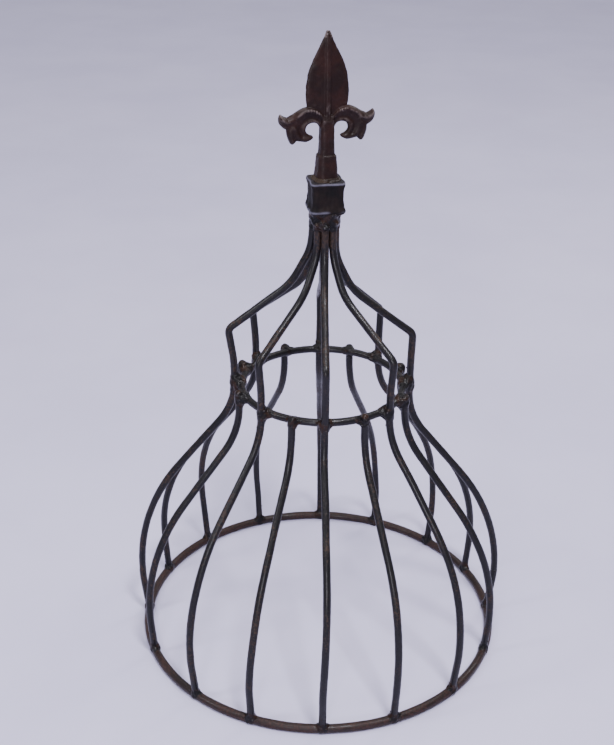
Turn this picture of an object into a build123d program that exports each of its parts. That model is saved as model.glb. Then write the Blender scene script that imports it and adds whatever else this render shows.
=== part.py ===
"""Garden cloche of forged round bar: a bell of sixteen welded ribs on two rings,
gathered under a square collar that carries a cast spear finial.

Millimetres, +Z up.  The origin is the centre of the base ring's underside, and the
front of the cloche faces -Y.  Directions round the cloche are given in degrees from
the front, growing towards +X (the right-hand side).
"""

from build123d import *
from math import cos, radians, sin
import os

os.makedirs("parts", exist_ok=True)

# ---- Driving dimensions -------------------------------------------------------------

RIB_BAR = 8.0  # ribs: 8 mm round bar
WAIST_BAR = 8.0  # waist ring: the same bar
BASE_BAR = 9.5  # base ring: 9.5 mm round bar
WORN_FLAT = 0.35  # depth worn off the base bar's underside

BASE_RADIUS = 195.0  # base ring, on the bar's centreline
WAIST_RADIUS = 84.2  # waist ring, on the bar's centreline
BASE_HEIGHT = BASE_BAR / 2 - WORN_FLAT  # centreline of the base ring above the floor
WAIST_HEIGHT = 297.6

BITE = 0.3  # how far a rib is drawn into the waist ring when it is welded
RIB_AT_WAIST = WAIST_RADIUS + (WAIST_BAR + RIB_BAR) / 2 - BITE
BUNDLE_RADIUS = 10.6  # the eight rib tops stand in a circle under the collar
SAW_ALLOWANCE = 1.0  # left on a long rib's top, and sawn off level under the collar

COLLAR_BOTTOM = 488.4
COLLAR_TOP = 520.4
COLLAR_TURN = 13.0  # the collar is welded on twisted, by this many degrees
FINIAL_TURN = 18.0  # and the finial by this many
CORE_RADIUS = 6.4  # round core bar through bundle and collar
CORE_CLEARANCE = 0.1

BASE_BEAD = 6.2  # radius of a weld bead at a rib's foot
WAIST_BEAD = 5.8  # radius of a weld bead at the waist ring

# Long ribs, one per 45 degrees from the front, each bent by hand and so a little
# different: the direction of its upper limb, waist joint, bell and foot, how far it stands
# out at the neck, how far its limb is bowed upwards, how far out and how high its shoulder
# is, and the height at which its bell turns down.
LONG_RIBS = [
    (2, 2, 2.8, 1.8, 10.6, 0, 96, 358, 138),
    (42, 48, 48, 47, 10.6, 0, 94.5, 354.5, 136.5),
    (92, 92, 92.5, 93, 10.6, -2, 92.5, 356, 131),
    (138, 138.5, 135.5, 136, 10.6, 0, 93, 354, 138),
    (182, 182.5, 180.5, 180, 10.6, 0, 96, 358, 138),
    (230, 232.5, 229, 226, 10.6, 0, 95, 355, 140),
    (270, 271, 271, 271, 13.5, 5, 97.5, 359.5, 141),
    (319, 319, 319, 319.5, 10.6, 0, 95.5, 355, 138),
]
BUNDLE_START = 2.0  # direction of the first rib's top in the bundle

# Short ribs, one between each two long ones: the direction of the waist joint, bell and
# foot, the height at which the bell turns down, and how far the sawn top stands above the
# middle of the waist ring.
SHORT_RIBS = [
    (28, 25, 24, 126, 5.5),
    (68, 69, 70, 127.5, 1.5),
    (113, 114, 115, 123.5, 3.5),
    (161, 160, 159, 126, 0.5),
    (207.5, 205.5, 203.5, 126, 3),
    (250, 250, 248.5, 130, 6.5),
    (292.5, 292.5, 293.5, 127, 4.5),
    (341.5, 341, 340, 126, 4),
]


# ---- Helpers ------------------------------------------------------------------------


def around(radius, direction, height):
    """The point at a radius, a direction from the front and a height."""
    turn = radians(direction)
    return (radius * sin(turn), -radius * cos(turn), height)


def swept_bar(corners, radii):
    """A round bar bent along straight runs joined by tangent arcs."""
    with BuildPart() as bar:
        with BuildLine() as route:
            FilletPolyline(*corners, radius=radii)
        with BuildSketch(Plane(origin=route.line @ 0, z_dir=route.line % 0)):
            Circle(RIB_BAR / 2)
        sweep(path=route.line)
    return bar.part


def finish(piece, name):
    """Label a piece and write its STEP file."""
    piece.label = name
    export_step(piece, f"parts/{name}.step")


# ---- Rings --------------------------------------------------------------------------

with BuildPart() as base_ring:
    with BuildSketch(Plane.XZ):
        with Locations((BASE_RADIUS, BASE_HEIGHT)):
            Circle(BASE_BAR / 2)
        with Locations((BASE_RADIUS, -BASE_BAR / 2)):
            Rectangle(BASE_BAR, BASE_BAR, mode=Mode.SUBTRACT)
    revolve(axis=Axis.Z)

with BuildPart() as waist_ring:
    with BuildSketch(Plane.XZ):
        with Locations((WAIST_RADIUS, WAIST_HEIGHT)):
            Circle(WAIST_BAR / 2)
    revolve(axis=Axis.Z)

finish(base_ring.part, "base_ring")
finish(waist_ring.part, "waist_ring")


# ---- Ribs ---------------------------------------------------------------------------


def long_rib(number, limb, waist, bell, foot, neck, bow, out, up, turn):
    """A full-height rib: up in the bundle, out along the limb, over the shoulder, down
    the strut, past the waist ring and out round the bell to the base ring."""
    top = BUNDLE_START + 45 * number
    corners = [
        around(BUNDLE_RADIUS, top, COLLAR_BOTTOM + SAW_ALLOWANCE),
        around(neck, top, 444 + bow),
        around(30 + 0.6 * bow, limb, 406 + bow),
        around(out, waist, up),
        around(RIB_AT_WAIST, waist, 322),
        around(RIB_AT_WAIST, waist, turn + 132),
        around(200, bell, turn),
        around(200.5, foot, 49),
        around(BASE_RADIUS, foot, BASE_HEIGHT),
    ]
    return swept_bar(corners, (60, 60, 9, 150, 76, 210, 140))


def short_rib(waist, bell, foot, turn, proud):
    """A rib of the lower bell, whose top stands a little above the waist ring."""
    corners = [
        around(RIB_AT_WAIST, waist, WAIST_HEIGHT + proud),
        around(RIB_AT_WAIST, waist, turn + 132),
        around(198, bell, turn),
        around(198.5, foot, 45),
        around(BASE_RADIUS, foot, BASE_HEIGHT),
    ]
    return swept_bar(corners, (80, 200, 140))


def fitted_rib(bar):
    """The bar sawn off level under the collar, its foot coped over the base ring and its
    waist notched to the waist ring."""
    with BuildPart() as rib:
        add(bar)
        split(bisect_by=Plane.XY.offset(COLLAR_BOTTOM), keep=Keep.BOTTOM)
        add(base_ring.part, mode=Mode.SUBTRACT)
        add(waist_ring.part, mode=Mode.SUBTRACT)
    return rib.part


ribs = []
for number, bends in enumerate(LONG_RIBS):
    rib = fitted_rib(long_rib(number, *bends))
    finish(rib, f"long_rib_{number + 1}")
    ribs.append(rib)

for number, bends in enumerate(SHORT_RIBS):
    rib = fitted_rib(short_rib(*bends))
    finish(rib, f"short_rib_{number + 1}")
    ribs.append(rib)


# ---- Collar, core bar and finial ----------------------------------------------------

collar_frame = Plane.XY.rotated((0, 0, COLLAR_TURN))
finial_frame = Plane.XY.rotated((0, 0, FINIAL_TURN)).offset(COLLAR_TOP)

# Collar: height above its underside and half its width across the flats.
COLLAR_SECTIONS = [
    (0, 15.6),
    (1.2, 16.9),
    (3.0, 17.2),
    (5.0, 16.9),
    (9.0, 15.8),
    (24.0, 15.6),
    (28.0, 16.4),
    (30.5, 16.7),
    (32.0, 15.8),
]

SOCKET_DEPTH = 14.0  # the core bar's seat in the finial

with BuildPart() as square_collar:
    for height, half_width in COLLAR_SECTIONS:
        with BuildSketch(collar_frame.offset(COLLAR_BOTTOM + height)):
            RectangleRounded(2 * half_width, 2 * half_width, 2.5)
    loft(ruled=True)
    with BuildSketch(Plane.XY.offset(COLLAR_BOTTOM)):
        Circle(CORE_RADIUS + CORE_CLEARANCE)
    extrude(amount=COLLAR_TOP - COLLAR_BOTTOM, mode=Mode.SUBTRACT)

CORE_BOTTOM = 452.0

with BuildPart() as core_bar:
    with BuildSketch(Plane.XY.offset(CORE_BOTTOM)):
        Circle(CORE_RADIUS)
    extrude(amount=COLLAR_TOP + SOCKET_DEPTH - CORE_BOTTOM)
    chamfer(core_bar.edges().filter_by(GeomType.CIRCLE), length=0.8)

# Finial stem, a square with well-rounded corners: height above the collar and half its
# width across the flats.
STEM_SECTIONS = [(0, 11.0), (23.5, 8.8), (25.0, 7.4), (50.0, 6.7), (62.0, 6.0)]
STEM_ROUNDNESS = 0.6  # corner radius for each unit of half width

# Finial blade: height above the collar, half width and half thickness.
BLADE_SECTIONS = [
    (56.0, 6.2, 4.4),
    (64.0, 16.2, 4.6),
    (72.0, 20.3, 4.5),
    (86.0, 21.2, 4.2),
    (100.0, 19.2, 3.7),
    (113.0, 14.3, 3.1),
    (126.0, 7.4, 2.3),
    (137.0, 2.4, 1.4),
    (140.6, 0.6, 0.6),
]
BLADE_EDGE = 0.45  # half the thickness of the blade's cast edge
CURL_HALF_THICKNESS = 5.0

with BuildPart() as spear_finial:
    for height, half_width in STEM_SECTIONS:
        with BuildSketch(finial_frame.offset(height)):
            RectangleRounded(2 * half_width, 2 * half_width, STEM_ROUNDNESS * half_width)
    loft(ruled=True)
    for height, half_width, half_thickness in BLADE_SECTIONS:
        with BuildSketch(finial_frame.offset(height)):
            Polygon(
                (half_width, BLADE_EDGE),
                (0, half_thickness),
                (-half_width, BLADE_EDGE),
                (-half_width, -BLADE_EDGE),
                (0, -half_thickness),
                (half_width, -BLADE_EDGE),
            )
    loft(ruled=True)
    # The two curled side leaves: an arched back, three leaf tips and the hook that
    # turns in under the arch.
    with BuildSketch(Plane(finial_frame.origin, finial_frame.x_dir, -finial_frame.y_dir)):
        with BuildLine():
            Spline((0, 61), (11, 69.6), (21, 71), (39.5, 62.1))
            Spline((39.5, 62.1), (46, 65.9), (47.4, 57.5), (40.2, 50.5))
            Spline((40.2, 50.5), (37.6, 39.8), (34, 36), (30.1, 39))
            Spline((30.1, 39), (20.7, 37.5), (14, 41.8))
            Spline((14, 41.8), (20.3, 47.5), (13.8, 55.6), (7.3, 50))
            Polyline((7.3, 50), (0, 50), (0, 61))
        make_face()
        mirror(about=Plane.YZ)
    extrude(amount=CURL_HALF_THICKNESS, both=True)
    with BuildSketch(finial_frame):
        Circle(CORE_RADIUS + CORE_CLEARANCE)
    extrude(amount=SOCKET_DEPTH, mode=Mode.SUBTRACT)

finish(square_collar.part, "square_collar")
finish(core_bar.part, "core_bar")
finish(spear_finial.part, "spear_finial")


# ---- Welds --------------------------------------------------------------------------

feet = [rib[3] for rib in LONG_RIBS] + [rib[2] for rib in SHORT_RIBS]
waists = [rib[1] for rib in LONG_RIBS] + [rib[0] for rib in SHORT_RIBS]
WELD_SINK = 1.8  # a foot's bead is centred this far below the top of the base ring
CONTACT_RADIUS = WAIST_RADIUS + WAIST_BAR / 2  # where ribs and waist ring meet

with BuildPart() as base_ring_welds:
    for foot in feet:
        with Locations(around(BASE_RADIUS, foot, BASE_HEIGHT + BASE_BAR / 2 - WELD_SINK)):
            Sphere(BASE_BEAD)
    add([base_ring.part] + ribs, mode=Mode.SUBTRACT)

with BuildPart() as waist_ring_welds:
    for waist in waists:
        with Locations(around(CONTACT_RADIUS, waist, WAIST_HEIGHT)):
            Sphere(WAIST_BEAD)
    add([waist_ring.part] + ribs, mode=Mode.SUBTRACT)

WELD_BOTTOM = COLLAR_BOTTOM - 15.5
WELD_RADIUS = 16.4

with BuildPart() as bundle_weld:
    with BuildSketch(Plane.XZ):
        with BuildLine():
            Polyline(
                (BUNDLE_RADIUS, COLLAR_BOTTOM),
                (BUNDLE_RADIUS, WELD_BOTTOM),
                (14.8, WELD_BOTTOM),
                (WELD_RADIUS, WELD_BOTTOM + 3),
                (WELD_RADIUS, COLLAR_BOTTOM - 2),
                (15.6, COLLAR_BOTTOM),
                close=True,
            )
        make_face()
    revolve(axis=Axis.Z)
    add(ribs, mode=Mode.SUBTRACT)

FINIAL_BEAD = 2.6  # leg of the bead round the finial's foot

with BuildPart() as finial_weld:
    with BuildSketch(finial_frame):
        RectangleRounded(22 + 2 * FINIAL_BEAD, 22 + 2 * FINIAL_BEAD, 8)
    with BuildSketch(finial_frame.offset(FINIAL_BEAD)):
        RectangleRounded(22, 22, 6.6)
    loft()
    with BuildSketch(finial_frame):
        Rectangle(16, 16)
    extrude(amount=FINIAL_BEAD, mode=Mode.SUBTRACT)
    add(spear_finial.part, mode=Mode.SUBTRACT)

finish(base_ring_welds.part, "base_ring_welds")
finish(waist_ring_welds.part, "waist_ring_welds")
finish(bundle_weld.part, "bundle_weld")
finish(finial_weld.part, "finial_weld")
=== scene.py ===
"""A bell-shaped garden cloche of round iron bar, with a square collar and a cast spear
finial, standing on a plain pale floor.

Metres, +Z up, in the same frame as the CAD model: the origin is the middle of the base
ring's underside and the front faces -Y.  Directions round the cloche are in degrees
from the front, growing towards +X.  Shapes are worked out in millimetres and scaled
when a mesh is made.
"""

import math

import bpy
import numpy as np
from mathutils import Matrix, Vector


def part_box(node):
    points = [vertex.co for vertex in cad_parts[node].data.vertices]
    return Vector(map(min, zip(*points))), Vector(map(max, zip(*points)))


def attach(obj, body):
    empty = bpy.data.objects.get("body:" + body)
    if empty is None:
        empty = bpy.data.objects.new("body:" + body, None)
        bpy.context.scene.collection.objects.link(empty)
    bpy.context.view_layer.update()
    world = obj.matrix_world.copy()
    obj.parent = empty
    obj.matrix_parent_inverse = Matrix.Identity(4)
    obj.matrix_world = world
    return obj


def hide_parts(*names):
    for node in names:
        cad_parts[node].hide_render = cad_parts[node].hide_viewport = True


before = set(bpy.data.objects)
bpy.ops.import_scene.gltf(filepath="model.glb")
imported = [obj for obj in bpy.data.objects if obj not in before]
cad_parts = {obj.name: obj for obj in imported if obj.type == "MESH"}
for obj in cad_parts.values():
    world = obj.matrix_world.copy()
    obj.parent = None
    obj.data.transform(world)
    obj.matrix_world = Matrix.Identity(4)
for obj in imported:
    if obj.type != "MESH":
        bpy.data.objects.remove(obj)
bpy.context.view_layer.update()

MM = 0.001


def box_mm(node):
    """Lowest and highest corner of a CAD node, in millimetres."""
    low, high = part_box(node)
    return np.array(low) / MM, np.array(high) / MM


# ---- Sizes, in millimetres -----------------------------------------------------------

waist_low, waist_high = box_mm("waist_ring")
base_high = box_mm("base_ring")[1]
collar_low, collar_high = box_mm("square_collar")
finial_low, finial_high = box_mm("spear_finial")

RIB_BAR = 8.0
WAIST_BAR = waist_high[2] - waist_low[2]
BASE_BAR = 9.5
BASE_RADIUS = base_high[0] - BASE_BAR / 2
BASE_HEIGHT = base_high[2] - BASE_BAR / 2
WAIST_RADIUS = waist_high[0] - WAIST_BAR / 2
WAIST_HEIGHT = (waist_high[2] + waist_low[2]) / 2
COLLAR_BOTTOM = collar_low[2]
COLLAR_TOP = collar_high[2]
FINIAL_HEIGHT = finial_high[2] - finial_low[2]

BITE = 0.3
RIB_AT_WAIST = WAIST_RADIUS + (WAIST_BAR + RIB_BAR) / 2 - BITE
BUNDLE_RADIUS = 10.6
BUNDLE_START = 2.0
COLLAR_TURN = 13.0
FINIAL_TURN = 18.0

# Long ribs, each bent by hand and so a little different: the direction of its upper limb,
# waist joint, bell and foot, how far it stands out at the neck, how far its limb is bowed
# upwards, how far out and how high its shoulder is, and the height at which its bell turns
# down.
LONG_RIBS = [
    (2, 2, 2.8, 1.8, 10.6, 0, 96, 358, 138),
    (42, 48, 48, 47, 10.6, 0, 94.5, 354.5, 136.5),
    (92, 92, 92.5, 93, 10.6, -2, 92.5, 356, 131),
    (138, 138.5, 135.5, 136, 10.6, 0, 93, 354, 138),
    (182, 182.5, 180.5, 180, 10.6, 0, 96, 358, 138),
    (230, 232.5, 229, 226, 10.6, 0, 95, 355, 140),
    (270, 271, 271, 271, 13.5, 5, 97.5, 359.5, 141),
    (319, 319, 319, 319.5, 10.6, 0, 95.5, 355, 138),
]

# Short ribs: the direction of the waist joint, bell and foot, the height at which the bell
# turns down, and how far the sawn top stands above the middle of the waist ring.
SHORT_RIBS = [
    (28, 25, 24, 126, 5.5),
    (68, 69, 70, 127.5, 1.5),
    (113, 114, 115, 123.5, 3.5),
    (161, 160, 159, 126, 0.5),
    (207.5, 205.5, 203.5, 126, 3),
    (250, 250, 248.5, 130, 6.5),
    (292.5, 292.5, 293.5, 127, 4.5),
    (341.5, 341, 340, 126, 4),
]


# ---- Mesh and number helpers ---------------------------------------------------------


def around(radius, direction, height):
    """The point at a radius, a direction from the front and a height."""
    turn = np.radians(direction)
    return np.array([radius * np.sin(turn), -radius * np.cos(turn), height])


def ripples(points, size, seed, waves=10):
    """Smooth unevenness between about -1 and 1: the mean of plane sine waves that run in
    random directions, each about size long."""
    rng = np.random.default_rng(seed)
    run = rng.normal(size=(waves, 3))
    run /= np.linalg.norm(run, axis=1)[:, None]
    run *= 2 * np.pi / (size * rng.uniform(0.7, 1.5, waves))[:, None]
    phase = rng.uniform(0, 2 * np.pi, waves)
    return np.sin(points @ run.T + phase).sum(-1) / math.sqrt(waves / 2) / 1.6


def smooth_union(a, b, fillet):
    """The lesser of two distances, with a fillet about that wide where they are equal."""
    share = np.clip(0.5 + 0.5 * (b - a) / fillet, 0, 1)
    return b * (1 - share) + a * share - fillet * share * (1 - share)


def smooth_line(points, steps=12):
    """A smooth curve through points: on each span a cubic whose slope at a point is half
    the way from the point before to the point after."""
    p = np.asarray(points, float)
    ends = np.vstack([2 * p[0] - p[1], p, 2 * p[-1] - p[-2]])
    t = np.linspace(0, 1, steps, endpoint=False)[None, :, None]
    a, b, c, d = (ends[i : len(ends) - 3 + i, None, :] for i in range(4))
    curve = b + 0.5 * t * (c - a + t * (2 * a - 5 * b + 4 * c - d + t * (3 * (b - c) + d - a)))
    return np.vstack([curve.reshape(-1, p.shape[1]), p[-1]])


def mesh_piece(name, points, faces, material, node, smooth=True):
    """A finished piece from points in millimetres and an array of quads."""
    mesh = bpy.data.meshes.new(name)
    mesh.vertices.add(len(points))
    mesh.vertices.foreach_set("co", (np.asarray(points) * MM).astype(np.float32).ravel())
    faces = np.asarray(faces, np.int32)
    mesh.loops.add(faces.size)
    mesh.loops.foreach_set("vertex_index", faces.ravel())
    mesh.polygons.add(len(faces))
    mesh.polygons.foreach_set("loop_start", np.arange(0, faces.size, 4, dtype=np.int32))
    mesh.polygons.foreach_set("use_smooth", np.full(len(faces), smooth))
    mesh.update(calc_edges=True)
    mesh.validate()
    mesh.materials.append(material)
    piece = bpy.data.objects.new(name, mesh)
    bpy.context.scene.collection.objects.link(piece)
    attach(piece, "root")
    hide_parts(node)
    return piece


def mark(piece, name, values):
    """Stores one number per vertex, for a material to read."""
    layer = piece.data.attributes.new(name, "FLOAT", "POINT")
    layer.data.foreach_set("value", np.asarray(values, np.float32))


def mark_vectors(piece, name, values):
    """Stores one vector per vertex, for a material to read."""
    layer = piece.data.attributes.new(name, "FLOAT_VECTOR", "POINT")
    layer.data.foreach_set("vector", np.asarray(values, np.float32).ravel())


def neighbour_mean(edges, values):
    """The mean of each vertex's neighbours' values, along the mesh's edges."""
    a, b = edges[:, 0], edges[:, 1]
    count = np.bincount(edges.ravel(), minlength=len(values))
    columns = [
        np.bincount(a, values[b, i], len(values)) + np.bincount(b, values[a, i], len(values))
        for i in range(values.shape[1])
    ]
    return np.stack(columns, 1) / np.maximum(count, 1)[:, None]


def proud_parts(piece, spread, reach):
    """How far each vertex stands proud of its surroundings, from 0 to 1: its distance,
    outward along its normal, from the mesh smoothed that many times, over reach."""
    mesh = piece.data
    points = np.empty(len(mesh.vertices) * 3)
    mesh.vertices.foreach_get("co", points)
    points = points.reshape(-1, 3) / MM
    normals = np.empty(len(mesh.vertices) * 3)
    mesh.vertices.foreach_get("normal", normals)
    edges = np.empty(len(mesh.edges) * 2, np.int32)
    mesh.edges.foreach_get("vertices", edges)
    edges = edges.reshape(-1, 2)
    softened = points
    for _ in range(spread):
        softened = neighbour_mean(edges, softened)
    proud = ((points - softened) * normals.reshape(-1, 3)).sum(1)
    return np.clip(proud / reach, 0, 1)


def surface_net(field, low, step):
    """The closed surface where a field on a grid crosses zero, as points and quads: one
    point in each cell it passes through, at the mean of the crossings on that cell's
    edges, and one quad round each grid edge that it crosses, facing the positive side."""
    inside = field < 0
    cells = np.array(field.shape) - 1
    stride = np.array([cells[1] * cells[2], cells[2], 1])
    owners, places, quads = [], [], []
    for axis in range(3):
        second, third = (axis + 1) % 3, (axis + 2) % 3
        near = [slice(None)] * 3
        far = [slice(None)] * 3
        near[axis] = slice(None, -1)
        far[axis] = slice(1, None)
        a, b = field[tuple(near)], field[tuple(far)]
        at = np.argwhere(inside[tuple(near)] != inside[tuple(far)])
        at = at[((at[:, [second, third]] > 0) & (at[:, [second, third]] < cells[[second, third]])).all(1)]
        key = tuple(at.T)
        place = at.astype(float)
        place[:, axis] += a[key] / (a[key] - b[key])
        ring = []
        for back_second, back_third in ((0, 0), (1, 0), (1, 1), (0, 1)):
            cell = at.copy()
            cell[:, second] -= back_second
            cell[:, third] -= back_third
            ring.append(cell @ stride)
            owners.append(ring[-1])
            places.append(place)
        ring = np.stack(ring, 1)
        turned = ~inside[tuple(near)][key]
        ring[turned] = ring[turned][:, ::-1]
        quads.append(ring)
    owners = np.concatenate(owners)
    places = np.concatenate(places)
    used, slot_of = np.unique(owners, return_inverse=True)
    count = np.bincount(slot_of)
    points = np.stack([np.bincount(slot_of, places[:, i]) / count for i in range(3)], 1)
    return np.asarray(low) + points * step, np.searchsorted(used, np.concatenate(quads))


def grid_points(low, high, step):
    """A block of evenly spaced points between two corners, as an array (x, y, z, 3)."""
    axes = [np.arange(low[i], high[i] + step, step) for i in range(3)]
    return np.stack(np.meshgrid(*axes, indexing="ij"), -1)


def joined(parts):
    """Several (points, quads) as one."""
    points, quads, start = [], [], 0
    for part_points, part_quads in parts:
        points.append(part_points)
        quads.append(part_quads + start)
        start += len(part_points)
    return np.concatenate(points), np.concatenate(quads)


# ---- Bars ----------------------------------------------------------------------------


def bent_line(corners, radii, spacing):
    """Straight runs joined by tangent arcs, as evenly spaced points.  An arc of radius R
    at a corner that turns by A starts R tan(A / 2) before it, and its centre lies on the
    corner's bisector, R / cos(A / 2) away."""
    line = [corners[0]]
    for before, corner, after, radius in zip(corners, corners[1:], corners[2:], radii):
        back = (before - corner) / np.linalg.norm(before - corner)
        ahead = (after - corner) / np.linalg.norm(after - corner)
        half_open = math.acos(np.clip(back @ ahead, -1, 1)) / 2
        bisector = (back + ahead) / np.linalg.norm(back + ahead)
        centre = corner + bisector * radius / math.sin(half_open)
        start = corner + back * radius / math.tan(half_open) - centre
        end = corner + ahead * radius / math.tan(half_open) - centre
        sweep = math.pi - 2 * half_open
        share = np.linspace(0, 1, 14)[:, None]
        arc = (np.sin((1 - share) * sweep) * start + np.sin(share * sweep) * end) / math.sin(sweep)
        line.append(centre + arc)
    line = np.vstack(line + [corners[-1]])
    length = np.concatenate([[0], np.cumsum(np.linalg.norm(np.diff(line, axis=0), axis=1))])
    even = np.linspace(0, length[-1], int(length[-1] / spacing) + 1)
    return np.stack([np.interp(even, length, line[:, i]) for i in range(3)], 1)


def long_rib_line(number, limb, waist, bell, foot, neck, bow, out, up, turn):
    """Centreline of a full-height rib, from the collar down to the base ring."""
    top = BUNDLE_START + 45 * number
    corners = [
        around(BUNDLE_RADIUS, top, COLLAR_BOTTOM),
        around(neck, top, 444 + bow),
        around(30 + 0.6 * bow, limb, 406 + bow),
        around(out, waist, up),
        around(RIB_AT_WAIST, waist, 322),
        around(RIB_AT_WAIST, waist, turn + 132),
        around(200, bell, turn),
        around(200.5, foot, 49),
        around(BASE_RADIUS, foot, BASE_HEIGHT),
    ]
    return bent_line(corners, (60, 60, 9, 150, 76, 210, 140), 2.0)


def short_rib_line(waist, bell, foot, turn, proud):
    """Centreline of a rib of the lower bell, from just above the waist ring down."""
    corners = [
        around(RIB_AT_WAIST, waist, WAIST_HEIGHT + proud),
        around(RIB_AT_WAIST, waist, turn + 132),
        around(198, bell, turn),
        around(198.5, foot, 45),
        around(BASE_RADIUS, foot, BASE_HEIGHT),
    ]
    return bent_line(corners, (80, 200, 140), 2.0)


ROUND = 28  # points round a bar


def round_bar(line, radius, seed):
    """A bar carried along a line.  The section at each point is a circle in the plane
    across the line, thinned a little by hammer marks, and the line wanders sideways by
    parts of a millimetre.  The ends are closed by rings that shrink to a point."""
    line = line.copy()
    run = np.gradient(line, axis=0)
    run /= np.linalg.norm(run, axis=1)[:, None]
    sideways = np.stack([-line[:, 1], line[:, 0], 0 * line[:, 0]], 1)
    sideways /= np.linalg.norm(sideways, axis=1)[:, None]
    length = np.linspace(0, 1, len(line))
    ease = np.clip(np.minimum(length, 1 - length) * 12, 0, 1)
    line += sideways * (0.35 * ripples(line, 90, seed) * ease)[:, None]
    across = sideways - (sideways * run).sum(1)[:, None] * run
    across /= np.linalg.norm(across, axis=1)[:, None]
    outward = np.cross(run, across)

    bevel = np.array([0, 0.55, 0.85, 1.0])
    inset = np.array([0, 0, 0.25, 0.9])
    rows = np.concatenate([np.zeros(4, int), np.arange(1, len(line) - 1), np.full(4, len(line) - 1)])
    size = np.concatenate([bevel, np.ones(len(line) - 2), bevel[::-1]])
    slide = np.concatenate([inset, np.zeros(len(line) - 2), -inset[::-1]])
    turn = np.linspace(0, 2 * np.pi, ROUND, endpoint=False)
    circle = (
        np.cos(turn)[None, :, None] * across[rows][:, None, :]
        + np.sin(turn)[None, :, None] * outward[rows][:, None, :]
    )
    centre = line[rows] + run[rows] * slide[:, None]
    points = centre[:, None, :] + circle * radius
    thinning = 0.10 + 0.10 * ripples(points, 26, seed + 1) + 0.05 * ripples(points, 7, seed + 2)
    depth = radius * size[:, None] - np.clip(thinning, 0.03, 1) * (size[:, None] > 0.9)
    points = centre[:, None, :] + circle * depth[:, :, None]

    along = np.repeat(np.arange(len(rows)) * 2.0, ROUND)
    streak = np.stack([circle[..., 0].ravel() * 4, circle[..., 1].ravel() * 4, along * 0.12], 1)
    return points.reshape(-1, 3), tube_faces(len(rows)), streak


def tube_faces(rows):
    """Quads between neighbouring rings of a tube whose rows run along its length."""
    row, column = np.meshgrid(np.arange(rows - 1), np.arange(ROUND), indexing="ij")
    ahead = (column + 1) % ROUND
    quads = [
        row * ROUND + column,
        row * ROUND + ahead,
        (row + 1) * ROUND + ahead,
        (row + 1) * ROUND + column,
    ]
    return np.stack(quads, -1).reshape(-1, 4)


def bar_ring(radius, height, bar, seed, flat=0.0):
    """A round bar bent into a ring: a torus whose bar thickness wanders a little.  flat
    is how much is abraded off underneath."""
    turns = 360
    turn = np.linspace(0, 2 * np.pi, turns, endpoint=False)[:, None]
    section = np.linspace(0, 2 * np.pi, ROUND, endpoint=False)[None, :]
    out = np.stack([np.sin(turn) + 0 * section, -np.cos(turn) + 0 * section, 0 * turn + 0 * section], -1)
    up = np.array([0.0, 0.0, 1.0])
    circle = np.cos(section)[..., None] * out + np.sin(section)[..., None] * up
    centre = out * radius + up * height
    points = centre + circle * bar / 2
    thinning = 0.08 + 0.08 * ripples(points, 30, seed) + 0.05 * ripples(points, 6, seed + 1)
    points = centre + circle * (bar / 2 - np.clip(thinning, 0.03, 1))[..., None]
    points[..., 2] = np.maximum(points[..., 2], height - bar / 2 + flat)
    row, column = np.meshgrid(np.arange(turns), np.arange(ROUND), indexing="ij")
    ahead = (column + 1) % ROUND
    below = (row + 1) % turns
    quads = [row * ROUND + column, below * ROUND + column, below * ROUND + ahead, row * ROUND + ahead]
    along = turn * radius * 0.12 + 0 * section
    streak = np.stack([np.cos(section) * 4 + 0 * turn, np.sin(section) * 4 + 0 * turn, along], -1)
    return points.reshape(-1, 3), np.stack(quads, -1).reshape(-1, 4), streak.reshape(-1, 3)


# ---- Weld metal ----------------------------------------------------------------------


def bar_distance(points, line, radius):
    """Distance to the skin of a bar near a joint: to its centreline's nearest point,
    measured along the segment next to it, less the radius."""
    low, high = points.reshape(-1, 3).min(0) - 30, points.reshape(-1, 3).max(0) + 30
    near = line[((line > low) & (line < high)).all(1)]
    best = np.full(points.shape[:-1], 1e9)
    for a, b in zip(near, near[1:]):
        span = b - a
        share = np.clip(((points - a) @ span) / (span @ span), 0, 1)
        best = np.minimum(best, np.linalg.norm(points - a - share[..., None] * span, axis=-1))
    return best - radius


def ring_distance(points, radius, height, bar):
    """Distance to the skin of a ring: a torus."""
    out = np.hypot(points[..., 0], points[..., 1]) - radius
    return np.hypot(out, points[..., 2] - height) - bar / 2


def weld_bead(middle, reach, first, second, fillet, build_up, seed):
    """Weld metal in the corner between two bars: the fillet of their smooth union, built
    up near the middle and thinning out to nothing at its reach, with the lumps of a bead
    laid by hand."""
    middle = np.asarray(middle, float)
    points = grid_points(middle - reach - 1, middle + reach + 1, 0.6)
    away = np.linalg.norm(points - middle, axis=-1)
    lumps = 0.65 * ripples(points, 5.5, seed) + 0.28 * ripples(points, 2.6, seed + 1)
    joint = smooth_union(first(points), second(points), fillet)
    raised = build_up * (1 - (away / (0.72 * reach)) ** 2) + lumps * np.clip(1.3 - away / reach, 0, 1)
    field = np.maximum(joint - raised, away - reach + 0.6 * ripples(points, 6, seed + 2))
    return surface_net(field, points[0, 0, 0], 0.6)


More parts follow.
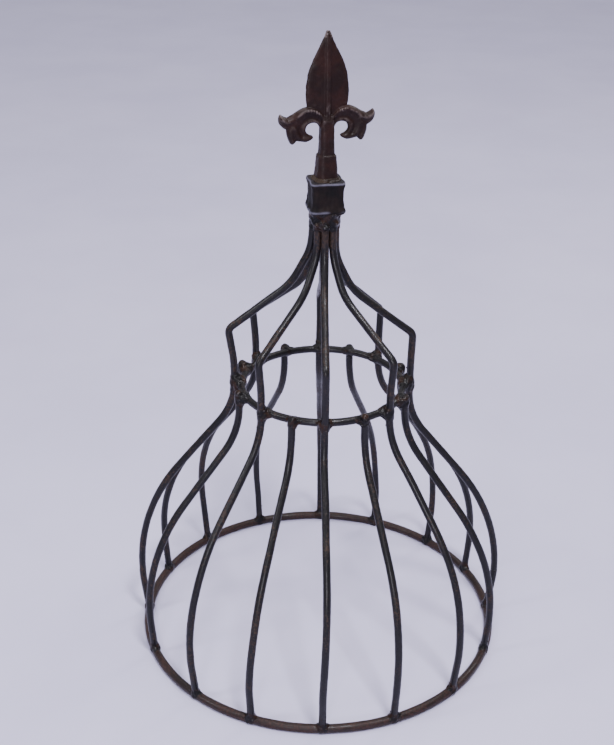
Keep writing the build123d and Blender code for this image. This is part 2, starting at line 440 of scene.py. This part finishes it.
def spatter(line, middle, bar, count, seed):
    """Drops of metal thrown on to a bar beside a weld: small flattened balls, each a grid
    of latitude and longitude, sitting on the bar's skin at random places within 22 mm."""
    rng = np.random.default_rng(seed)
    lat = np.linspace(0, np.pi, 7)[:, None]
    lon = np.linspace(0, 2 * np.pi, 8, endpoint=False)[None, :]
    ball = np.stack([np.sin(lat) * np.cos(lon), np.sin(lat) * np.sin(lon), np.cos(lat) + 0 * lon], -1)
    row, column = np.meshgrid(np.arange(6), np.arange(8), indexing="ij")
    ahead = (column + 1) % 8
    quads = [row * 8 + column, (row + 1) * 8 + column, (row + 1) * 8 + ahead, row * 8 + ahead]
    sides = np.stack(quads, -1)
    near = np.flatnonzero(np.linalg.norm(line - middle, axis=1) < 22)
    drops = []
    for at in rng.choice(near[1:-1], count):
        run = line[at + 1] - line[at - 1]
        side = np.cross(run, rng.normal(size=3))
        side /= np.linalg.norm(side)
        place = line[at] + side * (bar / 2 - 0.1)
        drops.append((place + ball.reshape(-1, 3) * rng.uniform(0.35, 0.95), sides.reshape(-1, 4)))
    return drops


# ---- Collar and finial ---------------------------------------------------------------


def rounded_square(turn, half_width, corner):
    """Radius, at each direction, of a square with rounded corners: the distance at which
    a ray from the middle leaves it."""
    c, s = np.abs(np.cos(turn)), np.abs(np.sin(turn))
    c, s = np.maximum(c, s), np.minimum(c, s)
    straight = half_width / c
    inner = half_width - corner
    dot = inner * (c + s)
    curved = dot + np.sqrt(np.maximum(dot**2 - 2 * inner**2 + corner**2, 0))
    return np.where(straight * s > inner, curved, straight)


COLLAR_PROFILE = [
    (0, 15.4),
    (0.8, 16.5),
    (2.2, 17.1),
    (3.8, 17.1),
    (5.6, 16.6),
    (8.0, 15.9),
    (12.0, 15.6),
    (22.0, 15.5),
    (25.5, 15.8),
    (28.0, 16.4),
    (30.0, 16.6),
    (31.2, 16.3),
    (32.0, 15.5),
]


def collar_shape():
    """A square casting with a lip at each end: at each height a rounded square whose
    half width follows the profile, covered above and below by rings that shrink to a
    pinhole on the axis."""
    profile = smooth_line(COLLAR_PROFILE, 5)
    cap = np.array([0.02, 0.3, 0.6, 0.86])
    height = np.concatenate([np.full(4, profile[0, 0]), profile[:, 0], np.full(4, profile[-1, 0])])
    half = np.concatenate([profile[0, 1] * cap, profile[:, 1], profile[-1, 1] * cap[::-1]])
    round_it = 160
    turn = np.linspace(0, 2 * np.pi, round_it, endpoint=False)
    size = np.stack([rounded_square(turn, h, min(3.2, 0.5 * h)) for h in half])
    angle = turn + math.radians(COLLAR_TURN)
    points = np.stack(
        [size * np.cos(angle), size * np.sin(angle), COLLAR_BOTTOM + height[:, None] + 0 * size], -1
    )
    outward = np.stack([np.cos(angle), np.sin(angle), 0 * angle], -1)
    dents = 0.40 * ripples(points, 13, 71) + 0.16 * ripples(points, 5, 72)
    points += outward * (dents * (size > 9))[..., None]
    rows = len(half)
    row, column = np.meshgrid(np.arange(rows - 1), np.arange(round_it), indexing="ij")
    ahead = (column + 1) % round_it
    quads = [row, row, row + 1, row + 1], [column, ahead, ahead, column]
    faces = np.stack([r * round_it + c for r, c in zip(*quads)], -1)
    return points.reshape(-1, 3), faces.reshape(-1, 4)


# Finial, in its own upright plane: across from its middle, and up from the collar.
STEM = [(0, 11.0), (12, 9.9), (22.8, 9.0), (24.2, 8.6), (26, 7.5), (36, 7.1), (50, 6.8), (70, 6.2)]
BLADE = [
    (48, 2.0, 5.4),
    (54, 4.0, 5.6),
    (58, 7.9, 5.4),
    (64, 15.9, 5.0),
    (72, 20.1, 4.7),
    (80, 21.1, 4.5),
    (88, 21.2, 4.3),
    (96, 20.2, 4.0),
    (104, 18.7, 3.7),
    (113, 15.2, 3.3),
    (122, 10.5, 2.8),
    (130, 6.4, 2.3),
    (137, 3.3, 1.8),
    (140.4, 1.7, 1.2),
]

# The side leaf's outline runs in five sweeps between its notches and points.
LEAF_OUTLINE = [
    [(0, 60.5), (4.2, 63.6), (11, 69.4), (20, 71.1), (26.5, 69.2), (33.4, 65.4), (39.5, 62.4)],
    [(39.5, 62.4), (43, 63.9), (46, 65.7), (47.8, 62), (47.3, 57.5), (44.3, 53.3), (40.2, 50.6)],
    [(40.2, 50.6), (39.9, 46), (37.8, 40), (35.7, 36.6), (33.9, 36.1), (31.8, 37.4), (30.1, 39.2)],
    [(30.1, 39.2), (25, 38.2), (20.7, 37.7), (17, 38.8), (14.3, 40.4), (13.4, 42.2), (14.6, 43.7)],
    [(14.6, 43.7), (17.4, 44.8), (19.8, 46.8), (20.9, 49.8), (19, 54), (13.8, 55.6), (9.3, 54), (6.7, 49)],
    [(6.7, 49), (0, 48)],
]
RIM_LINE = [(3, 57), (6, 63), (12.5, 67.4), (20, 68), (27, 65), (33.4, 60.5), (39.7, 58.6), (45, 62)]
HOLLOW_LINE = [(7.3, 57.5), (12.5, 60.6), (20, 60.4), (25.6, 56), (27, 50), (24.6, 44.5)]
LOBE_LINE = [(31.4, 58), (35, 52), (35.8, 45), (34.3, 39)]
HOOK_LINE = [(32.4, 52), (30.3, 46), (25, 41.8), (18.3, 41.2)]
STEM_ROUNDNESS = 0.6
LEAF_THICKNESS = 3.7
LEAF_ROUND = 3.4


def near_line(across, up, line, width):
    """1 on a line in the finial's plane, falling off as a bell curve of that width."""
    line = smooth_line(line, 6)
    best = np.full(across.shape, 1e9)
    for x, y in line:
        best = np.minimum(best, (across - x) ** 2 + (up - y) ** 2)
    return np.exp(-best / width**2)


def outline_distance(across, up, loop):
    """Distance to a closed outline, less than zero inside it: the nearest of its
    segments, signed by how many of them a level ray crosses."""
    best = np.full(across.shape, 1e9)
    crossings = np.zeros(across.shape, int)
    for (x0, y0), (x1, y1) in zip(loop, np.roll(loop, -1, axis=0)):
        dx, dy = x1 - x0, y1 - y0
        share = np.clip(((across - x0) * dx + (up - y0) * dy) / (dx * dx + dy * dy + 1e-12), 0, 1)
        best = np.minimum(best, (across - x0 - share * dx) ** 2 + (up - y0 - share * dy) ** 2)
        spans = (y0 > up) != (y1 > up)
        crossings += spans & (across < x0 + (up - y0) * dx / (dy if dy else 1e-12))
    return np.sqrt(best) * np.where(crossings % 2, -1, 1)


def finial_shape():
    """The whole casting as one skin: the smooth union of a tapered stem, square with
    well-rounded corners, a bevelled blade with a round midrib, and two side leaves.  A leaf
    is its outline swollen to a rounded edge, with raised ribs and a hollow drawn along
    lines, and its rim is nicked across."""
    step = 0.5
    high = np.array([49.5, 13.5, FINIAL_HEIGHT + 1])
    points = grid_points(-np.array([49.5, 13.5, 1.0]), high, step)
    across, through, up = np.abs(points[..., 0]), np.abs(points[..., 1]), points[..., 2]

    stem = smooth_line(STEM, 8)
    half = np.interp(up, stem[:, 0], stem[:, 1])
    corner = STEM_ROUNDNESS * half
    over_x, over_y = across - half + corner, through - half + corner
    stem_field = np.hypot(np.maximum(over_x, 0), np.maximum(over_y, 0)) - corner
    stem_field += np.minimum(np.maximum(over_x, over_y), 0)
    stem_field = np.maximum(stem_field, 0.7 * (through - 5.4 - 0.45 * (60 - up)))
    stem_field = np.maximum(stem_field, up - 62)

    blade = smooth_line(BLADE, 8)
    width = np.interp(up, blade[:, 0], blade[:, 1])
    thick = np.interp(up, blade[:, 0], blade[:, 2])
    inward = np.maximum(width - across, 0)
    bevel = 1 - np.exp(-inward / 1.5)
    midrib = np.exp(-((across / 2.6) ** 4))
    face = 0.5 + bevel * (0.34 * thick + 0.25 * thick * np.clip(inward / 21, 0, 1))
    face += (0.3 * thick + 0.45) * midrib * bevel
    blade_field = np.maximum(through - face, (across - width) * 0.9)
    blade_field = np.maximum(blade_field, np.maximum(49 - up, up - FINIAL_HEIGHT))

    flat_across, flat_up = across[:, 0, :], up[:, 0, :]
    loop = np.concatenate([smooth_line(sweep, 8)[:-1] for sweep in LEAF_OUTLINE])
    depth = -outline_distance(flat_across, flat_up, loop)
    rounded = np.sqrt(np.clip(1 - (1 - np.clip(depth / LEAF_ROUND, 0, 1)) ** 2, 0, 1))
    nicks = 1 + 0.2 * np.sin(2.2 * flat_across + 0.5 * flat_up) * np.exp(-((flat_across - 12) / 7) ** 2)
    ribs = 1.7 * nicks * near_line(flat_across, flat_up, RIM_LINE, 2.4)
    ribs += 0.9 * near_line(flat_across, flat_up, LOBE_LINE, 2.2)
    ribs += 0.9 * near_line(flat_across, flat_up, HOOK_LINE, 2.2)
    ribs -= 1.3 * near_line(flat_across, flat_up, HOLLOW_LINE, 2.3)
    leaf = (LEAF_THICKNESS + ribs) * rounded
    leaf_field = np.maximum(through - leaf[:, None, :], -depth[:, None, :])

    field = smooth_union(stem_field, blade_field, 1.6)
    field = smooth_union(field, leaf_field, 1.0)
    field -= 0.10 * ripples(points, 5, 31) + 0.12 * ripples(points, 13, 32) - 0.12
    field = np.maximum(field, np.maximum(-up, up - FINIAL_HEIGHT + 0.1))
    skin, quads = surface_net(field, points[0, 0, 0], step)
    turn = math.radians(FINIAL_TURN)
    x, y = skin[:, 0].copy(), skin[:, 1].copy()
    skin[:, 0] = x * math.cos(turn) - y * math.sin(turn)
    skin[:, 1] = x * math.sin(turn) + y * math.cos(turn)
    skin[:, 2] += COLLAR_TOP
    return skin, quads


# ---- Finishes ------------------------------------------------------------------------


def add_node(tree, kind, inputs=None, **options):
    """A node with its own options set, and each input given a value or a link."""
    item = tree.nodes.new(kind)
    for key, value in options.items():
        setattr(item, key, value)
    for key, value in (inputs or {}).items():
        if isinstance(value, bpy.types.NodeSocket):
            tree.links.new(value, item.inputs[key])
        else:
            item.inputs[key].default_value = value
    return item


def new_finish(name, ior):
    """An empty material with its shader and its object coordinates."""
    finish = bpy.data.materials.new(name)
    finish.use_nodes = True
    tree = finish.node_tree
    shader = tree.nodes["Principled BSDF"]
    shader.inputs["IOR"].default_value = ior
    coordinates = add_node(tree, "ShaderNodeTexCoord").outputs["Object"]
    return finish, tree, shader, coordinates


def cloud(tree, at, scale, detail=4.0, roughness=0.55):
    """Noise with that many lumps to the metre."""
    inputs = {"Vector": at, "Scale": scale, "Detail": detail, "Roughness": roughness}
    return add_node(tree, "ShaderNodeTexNoise", inputs).outputs["Fac"]


def band(tree, value, low, high, bottom=0.0, top=1.0):
    """A value turned into a soft step from bottom to top as it goes from low to high."""
    inputs = {"Value": value, "From Min": low, "From Max": high, "To Min": bottom, "To Max": top}
    return add_node(tree, "ShaderNodeMapRange", inputs, interpolation_type="SMOOTHSTEP").outputs[0]


def sum_of(tree, a, b, operation="ADD"):
    """Two values put together by an operation, kept between 0 and 1."""
    item = add_node(tree, "ShaderNodeMath", {0: a, 1: b}, operation=operation, use_clamp=True)
    return item.outputs[0]


def blend_colour(tree, share, a, b):
    """Colour a turning into colour b as the share goes from 0 to 1."""
    first, second = [(*end, 1) if isinstance(end, tuple) else end for end in (a, b)]
    inputs = {0: share, 6: first, 7: second}
    return add_node(tree, "ShaderNodeMix", inputs, data_type="RGBA").outputs[2]


def named(tree, attribute, output="Fac"):
    """A value or vector stored on the piece's vertices."""
    return add_node(tree, "ShaderNodeAttribute", attribute_name=attribute).outputs[output]


def raised(tree, height, distance, strength, under=None):
    """A bump from a height, over another bump if one is given."""
    inputs = {"Height": height, "Distance": distance, "Strength": strength}
    if under is not None:
        inputs["Normal"] = under
    return add_node(tree, "ShaderNodeBump", inputs).outputs["Normal"]


def connect(tree, shader, colour, roughness, normal):
    """Links the three patterned inputs of a finish to its shader."""
    tree.links.new(colour, shader.inputs["Base Color"])
    tree.links.new(roughness, shader.inputs["Roughness"])
    tree.links.new(normal, shader.inputs["Normal"])


def bar_finish(name, iron, rust, rust_low, rust_high):
    """Round bar as it comes from the fire: blue-black scale, drawn out along the bar,
    satin and a little paler in streaks where rubbing has polished it, with patches and freckles of brown
    rust."""
    finish, tree, shader, at = new_finish(name, ior=1.34)
    drawn = named(tree, "streak", "Vector")
    streaks = cloud(tree, drawn, 1.6, 5, 0.6)
    patches = cloud(tree, at, 26, 6, 0.62)
    freckles = cloud(tree, at, 480, 2, 0.5)
    paler_share = band(tree, streaks, 0.50, 0.68)
    scale_colour = blend_colour(tree, paler_share, iron, tuple(2.6 * c for c in iron))
    height = add_node(tree, "ShaderNodeSeparateXYZ", {"Vector": at}).outputs["Z"]
    spread = sum_of(tree, patches, band(tree, freckles, 0.35, 0.75, -0.08, 0.12))
    spread = sum_of(tree, spread, band(tree, height, 0.440, 0.472, 0, 0.12))
    rusted = band(tree, spread, rust_low, rust_high)
    deep = blend_colour(tree, band(tree, freckles, 0.4, 0.65), tuple(0.4 * c for c in rust), rust)
    colour = blend_colour(tree, rusted, scale_colour, deep)
    gloss = sum_of(tree, band(tree, streaks, 0.3, 0.7, 0.36, 0.24), band(tree, rusted, 0, 1, 0.0, 0.3))
    pits = band(tree, cloud(tree, at, 700, 3, 0.6), 0.35, 0.6)
    normal = raised(tree, streaks, 0.0001, 0.4)
    normal = raised(tree, pits, 0.0001, 0.4, normal)
    normal = raised(tree, rusted, 0.0001, 0.4, normal)
    connect(tree, shader, colour, gloss, normal)
    return finish


def cast_finish(name, ground, rust, wear_and_highlight_colour, gloss_low, gloss_high, ior, broken=True):
    """Cast iron with a sandy skin: dark ground, rust in broad patches, and a paler colour where the
    piece is marked, in specks if broken: partly edge abrasion, partly a painted highlight."""
    finish, tree, shader, at = new_finish(name, ior=ior)
    patches = cloud(tree, at, 42, 5, 0.6)
    grain = cloud(tree, at, 650, 3, 0.6)
    mottle = cloud(tree, at, 230, 4, 0.6)
    colour = blend_colour(tree, band(tree, patches, 0.40, 0.66), ground, rust)
    # The marked share gets a paler colour: partly abrasion, partly a painted highlight on proud parts.
    paler_share = named(tree, "wear_and_highlight")
    if broken:
        paler_share = sum_of(tree, paler_share, band(tree, mottle, 0.40, 0.60), "MULTIPLY")
    colour = blend_colour(tree, paler_share, colour, wear_and_highlight_colour)
    sheen = band(tree, paler_share, 0, 1, 0, 0.28)
    gloss = sum_of(tree, band(tree, grain, 0.3, 0.7, gloss_low, gloss_high), sheen, "SUBTRACT")
    normal = raised(tree, mottle, 0.0004, 0.3)
    normal = raised(tree, grain, 0.0002, 0.45, normal)
    connect(tree, shader, colour, gloss, normal)
    return finish


def weld_finish():
    """Weld metal: burnt black between the ripples, brown in the hollows, and a pale grey
    painted highlight on the lumps and drops."""
    finish, tree, shader, at = new_finish("weld_metal", ior=1.25)
    burnt = cloud(tree, at, 90, 5, 0.6)
    specks = cloud(tree, at, 420, 2, 0.5)
    colour = blend_colour(
        tree, band(tree, burnt, 0.45, 0.62), (0.0050, 0.0044, 0.0050), (0.022, 0.0105, 0.0068)
    )
    # Painted highlight: pale grey (0.17, 0.16, 0.16) on the proud lumps, broken into specks.
    painted_highlight = sum_of(tree, named(tree, "wear_and_highlight"), band(tree, specks, 0.60, 0.67), "MULTIPLY")
    colour = blend_colour(tree, painted_highlight, colour, (0.17, 0.16, 0.16))
    gloss = sum_of(
        tree, band(tree, burnt, 0.3, 0.7, 0.40, 0.26), band(tree, painted_highlight, 0, 1, 0, 0.08), "SUBTRACT"
    )
    normal = raised(tree, burnt, 0.0005, 0.5)
    normal = raised(tree, specks, 0.00015, 0.5, normal)
    connect(tree, shader, colour, gloss, normal)
    return finish


forged_bar = bar_finish("forged_bar", (0.0044, 0.0038, 0.0046), (0.034, 0.0185, 0.0120), 0.52, 0.71)
rusted_bar = bar_finish("rusted_bar", (0.012, 0.0070, 0.0062), (0.038, 0.0165, 0.0130), 0.34, 0.60)
# cast_brown's paler colour (0.11, 0.086, 0.080) is partly abrasion and partly a painted highlight on the
# finial's curls and point.
cast_brown = cast_finish(
    "cast_brown", (0.0100, 0.0043, 0.0037), (0.0180, 0.0066, 0.0052), (0.11, 0.086, 0.080), 0.38, 0.52, 1.24
)
# cast_black's lilac-grey paler colour (0.10, 0.095, 0.125) paints the highlight along the collar's lips,
# partly edge abrasion.
cast_black = cast_finish(
    "cast_black", (0.0052, 0.0046, 0.0050), (0.0125, 0.0078, 0.0072), (0.10, 0.095, 0.125), 0.50, 0.62,
    1.18, broken=False,
)
# weld_brown's paler colour (0.06, 0.048, 0.036) is a painted highlight on the bead's lumps.
weld_brown = cast_finish(
    "weld_brown", (0.012, 0.0078, 0.0058), (0.028, 0.0165, 0.0098), (0.06, 0.048, 0.036), 0.36, 0.50, 1.25
)
weld_metal = weld_finish()


# ---- The pieces ----------------------------------------------------------------------

rib_lines = {}
for number, bends in enumerate(LONG_RIBS):
    rib_lines[f"long_rib_{number + 1}"] = long_rib_line(number, *bends)
for number, bends in enumerate(SHORT_RIBS):
    rib_lines[f"short_rib_{number + 1}"] = short_rib_line(*bends)

for seed, (node, line) in enumerate(rib_lines.items()):
    points, faces, streak = round_bar(line, RIB_BAR / 2, 100 + 5 * seed)
    rib = mesh_piece(f"{node}_bar", points, faces, forged_bar, node)
    mark_vectors(rib, "streak", streak + np.array([0, 0, 40.0 * seed]))

points, faces, streak = bar_ring(BASE_RADIUS, BASE_HEIGHT, BASE_BAR, 11, BASE_BAR / 2 - BASE_HEIGHT)
base_ring = mesh_piece("base_ring_bar", points, faces, rusted_bar, "base_ring")
mark_vectors(base_ring, "streak", streak)

points, faces, streak = bar_ring(WAIST_RADIUS, WAIST_HEIGHT, WAIST_BAR, 13)
waist_ring = mesh_piece("waist_ring_bar", points, faces, forged_bar, "waist_ring")
mark_vectors(waist_ring, "streak", streak)


def base_skin(points):
    """Distance to the base ring's skin."""
    return ring_distance(points, BASE_RADIUS, BASE_HEIGHT, BASE_BAR)


def waist_skin(points):
    """Distance to the waist ring's skin."""
    return ring_distance(points, WAIST_RADIUS, WAIST_HEIGHT, WAIST_BAR)


def rib_skin(line):
    """The function that gives the distance to that rib's skin."""
    return lambda points: bar_distance(points, line, RIB_BAR / 2)


feet = [rib[3] for rib in LONG_RIBS] + [rib[2] for rib in SHORT_RIBS]
waists = [rib[1] for rib in LONG_RIBS] + [rib[0] for rib in SHORT_RIBS]
lines = list(rib_lines.values())

beads = []
for seed, (foot, line) in enumerate(zip(feet, lines)):
    middle = around(BASE_RADIUS, foot, BASE_HEIGHT + 4.2)
    beads.append(weld_bead(middle, 9.4, base_skin, rib_skin(line), 4.4, 0.6, 300 + 7 * seed))
    beads += spatter(line, middle, RIB_BAR, 2, 350 + seed)
points, faces = joined(beads)
points[:, 2] = np.maximum(points[:, 2], 0.4)
foot_welds = mesh_piece("rib_foot_welds", points, faces, weld_metal, "base_ring_welds")
# The proud lumps and drops are marked for a painted highlight.
mark(foot_welds, "wear_and_highlight", proud_parts(foot_welds, 6, 0.5))

beads = []
for seed, (waist, line) in enumerate(zip(waists, lines)):
    middle = around(WAIST_RADIUS + WAIST_BAR / 2, waist, WAIST_HEIGHT)
    heavy = abs(math.sin(math.radians(waist))) ** 4 + (0.3 if seed < 8 else 0)
    size = 10.5 + 4.5 * heavy, 6.0 + 5.0 * heavy, 0.8 + 0.7 * heavy
    beads.append(weld_bead(middle, size[0], waist_skin, rib_skin(line), *size[1:], 500 + 7 * seed))
    beads += spatter(line, middle, RIB_BAR, 4, 650 + seed)
points, faces = joined(beads)
waist_welds = mesh_piece("waist_welds", points, faces, weld_metal, "waist_ring_welds")
# The proud lumps and drops are marked for a painted highlight.
mark(waist_welds, "wear_and_highlight", proud_parts(waist_welds, 6, 0.5))


def bundle_weld_shape():
    """The weld that gathers the eight rib tops: a lumpy ring of weld metal with a ragged
    lower edge, joined by fillets to the skins of the ribs.  Its radius grows from a
    circle's to the collar's rounded square as it nears the collar's lower lip."""
    low, high = box_mm("bundle_weld")
    radius_at_drip = high[0] - 0.6
    points = grid_points(low - [5, 5, 3.5], high + [5, 5, 2.5], 0.5)
    x, y, z = points[..., 0], points[..., 1], points[..., 2]
    square = rounded_square(np.arctan2(y, x) - math.radians(COLLAR_TURN), 16.4, 4.5)
    flare = np.clip(1 - (high[2] - z) / 5.5, 0, 1) ** 2
    radius = (high[0] - 0.9) * (1 - flare) + square * flare
    bundle = np.full(x.shape, 1e9)
    for line in lines[:8]:
        bundle = smooth_union(bundle, bar_distance(points, line, RIB_BAR / 2), 2.5)
    lumps = 0.9 * ripples(points, 9, 901, 14) + 0.45 * ripples(points, 4, 902)
    ragged = low[2] + 2.2 + 1.5 * ripples(points * [1, 1, 0], 9, 903)
    ring = np.hypot(x, y) - radius - lumps * (1 - 0.6 * flare)
    ring = -smooth_union(-ring, z - ragged, 2.4)
    skin = np.maximum(bundle - 0.35, low[2] - 2.4 + lumps - z)
    from_drip = (points - around(radius_at_drip, 4, high[2] - 12.5)) / [1.5, 1.0, 1.0]
    drip = np.linalg.norm(from_drip, axis=-1) - 2.6
    field = smooth_union(smooth_union(ring, skin, 2.0), drip, 1.2)
    return surface_net(np.maximum(field, z - high[2] - 1.2), points[0, 0, 0], 0.5)


points, faces = bundle_weld_shape()
bundle_weld = mesh_piece("bundle_weld_metal", points, faces, weld_metal, "bundle_weld")
# The proud lumps are marked for a painted highlight.
mark(bundle_weld, "wear_and_highlight", proud_parts(bundle_weld, 8, 0.6))

points, faces = collar_shape()
collar = mesh_piece("collar_casting", points, faces, cast_black, "square_collar")
above_foot = points[:, 2] - COLLAR_BOTTOM
# Paler lines painted along the top and lower lips: a painted highlight, partly edge abrasion; the lower one
# is broken into patches.
top_lip_wear_and_highlight = 1.2 * np.exp(-(((above_foot - 30.7) / 0.8) ** 2)) * (0.9 + 0.2 * ripples(points, 7, 77))
patches = np.clip(0.5 + 0.9 * ripples(points, 11, 78), 0, 1)
low_lip_wear_and_highlight = 0.9 * np.exp(-(((above_foot - 3.0) / 1.1) ** 2)) * patches
mark(collar, "wear_and_highlight", top_lip_wear_and_highlight + low_lip_wear_and_highlight)

points, faces = finial_shape()
finial = mesh_piece("finial_casting", points, faces, cast_brown, "spear_finial")
above_collar = points[:, 2] - COLLAR_TOP
# Paler on the curls' proud rims, partly abrasion and partly a painted highlight, fainter elsewhere, and a
# painted highlight at the blade's point.
on_leaves = np.clip((75 - above_collar) / 4, 0, 1) * np.clip((above_collar - 50) / 8, 0, 1)
point_highlight = np.clip((above_collar - FINIAL_HEIGHT + 7) / 3, 0, 1)
mark(finial, "wear_and_highlight", np.maximum(proud_parts(finial, 14, 0.55) * (0.15 + 0.85 * on_leaves), 1.5 * point_highlight))


def finial_weld_shape():
    """The bead round the finial's foot: the smooth union of the foot, a well-rounded
    square, and the collar's top, built up in the corner between them."""
    low, high = box_mm("finial_weld")
    points = grid_points(low - [1, 1, 2.5], high + [1, 1, 2.5], 0.5)
    turn = math.radians(-FINIAL_TURN)
    x = points[..., 0] * math.cos(turn) - points[..., 1] * math.sin(turn)
    y = points[..., 0] * math.sin(turn) + points[..., 1] * math.cos(turn)
    over_x, over_y = np.abs(x) - 4.4, np.abs(y) - 4.4
    foot = np.hypot(np.maximum(over_x, 0), np.maximum(over_y, 0)) - 6.6
    foot += np.minimum(np.maximum(over_x, over_y), 0)
    top = points[..., 2] - COLLAR_TOP
    lumps = 0.30 * ripples(points, 7, 951) + 0.08 * ripples(points, 3, 952)
    field = smooth_union(foot, top, 4.6) - 0.25 - lumps
    edge = np.maximum(foot - 2.6 - 0.5 * lumps, np.abs(top - 0.8) - 2.4)
    return surface_net(np.maximum(field, edge), points[0, 0, 0], 0.5)


points, faces = finial_weld_shape()
finial_weld = mesh_piece("finial_foot_weld", points, faces, weld_brown, "finial_weld")
# Paler brown on the bead's proud lumps: a painted highlight.
mark(finial_weld, "wear_and_highlight", 0.4 * proud_parts(finial_weld, 6, 0.8))

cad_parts["core_bar"].data.materials.clear()
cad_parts["core_bar"].data.materials.append(forged_bar)


# ---- Floor, light and camera ---------------------------------------------------------


def pale_floor():
    """A wide flat sheet, matt and pale."""
    finish, tree, shader, at = new_finish("pale_floor", ior=1.45)
    tone = band(tree, cloud(tree, at, 3, 4, 0.6), 0.3, 0.7)
    colour = blend_colour(tree, tone, (0.53, 0.505, 0.70), (0.57, 0.545, 0.74))
    connect(tree, shader, colour, band(tree, tone, 0, 1, 0.75, 0.85), raised(tree, tone, 0.0002, 0.1))
    half_span = 80
    span = np.linspace(-half_span, half_span, 5)
    x, y = np.meshgrid(span, span, indexing="ij")
    points = np.stack([x, y, 0 * x], -1).reshape(-1, 3)
    row, column = np.meshgrid(np.arange(4), np.arange(4), indexing="ij")
    corner = row * 5 + column
    faces = np.stack([corner, corner + 5, corner + 6, corner + 1], -1)
    mesh = bpy.data.meshes.new("floor")
    mesh.from_pydata(points.tolist(), [], faces.reshape(-1, 4).tolist())
    mesh.materials.append(finish)
    floor = bpy.data.objects.new("floor", mesh)
    bpy.context.scene.collection.objects.link(floor)


def soft_light(name, place, towards, size, watts, colour):
    """A square soft box that faces a point."""
    light = bpy.data.lights.new(name, "AREA")
    light.shape = "SQUARE"
    light.size = size
    light.energy = watts
    light.color = colour
    lamp = bpy.data.objects.new(name, light)
    away = np.array(place, float) - np.array(towards, float)
    away /= np.linalg.norm(away)
    right = np.cross([0, 0, 1], away)
    right /= np.linalg.norm(right)
    facing = Matrix(np.stack([right, np.cross(away, right), away], 1)).to_4x4()
    lamp.matrix_world = Matrix.Translation(place) @ facing
    bpy.context.scene.collection.objects.link(lamp)


def studio_camera(place, look_down, look_left, lean, lens):
    """A camera at a place, tilted down, turned left and leaned clockwise, in degrees."""
    down, left, lean = np.radians([look_down, look_left, lean])
    ahead = np.array([-np.sin(left) * np.cos(down), np.cos(left) * np.cos(down), -np.sin(down)])
    right = np.array([np.cos(left), np.sin(left), 0])
    up = np.cross(right, ahead)
    across = np.cos(lean) * right + np.sin(lean) * up
    upright = np.cos(lean) * up - np.sin(lean) * right
    data = bpy.data.cameras.new("camera")
    data.lens = lens
    data.clip_start = 0.01
    camera = bpy.data.objects.new("camera", data)
    facing = Matrix(np.stack([across, upright, -ahead], 1)).to_4x4()
    camera.matrix_world = Matrix.Translation(place) @ facing
    bpy.context.scene.collection.objects.link(camera)
    bpy.context.scene.camera = camera


pale_floor()
soft_light("overhead", (0, 1.4, 4.2), (0, 1.3, 0), 5.0, 115, (0.97, 0.96, 1.0))
soft_light("front", (0.35, -0.9, 2.3), (0, 0, 0.3), 0.30, 52, (0.95, 0.93, 1.0))
soft_light("low front", (-0.35, -2.3, 0.95), (0, 0, 0.3), 0.36, 24, (0.94, 0.92, 1.0))
soft_light("window", (-1.6, -0.7, 1.5), (0, 0, 0.3), 0.35, 14, (0.93, 0.93, 1.0))
soft_light("back", (1.3, 1.4, 1.9), (0, 0, 0.3), 0.5, 14, (1.0, 0.97, 0.98))

world = bpy.data.worlds.new("studio")
world.use_nodes = True
world.node_tree.nodes["Background"].inputs["Color"].default_value = (0.88, 0.87, 0.96, 1)
world.node_tree.nodes["Background"].inputs["Strength"].default_value = 0.66
bpy.context.scene.world = world

studio_camera((0, -1.1222, 0.8763), 26.76, 0.82, 0.64, 58.13)
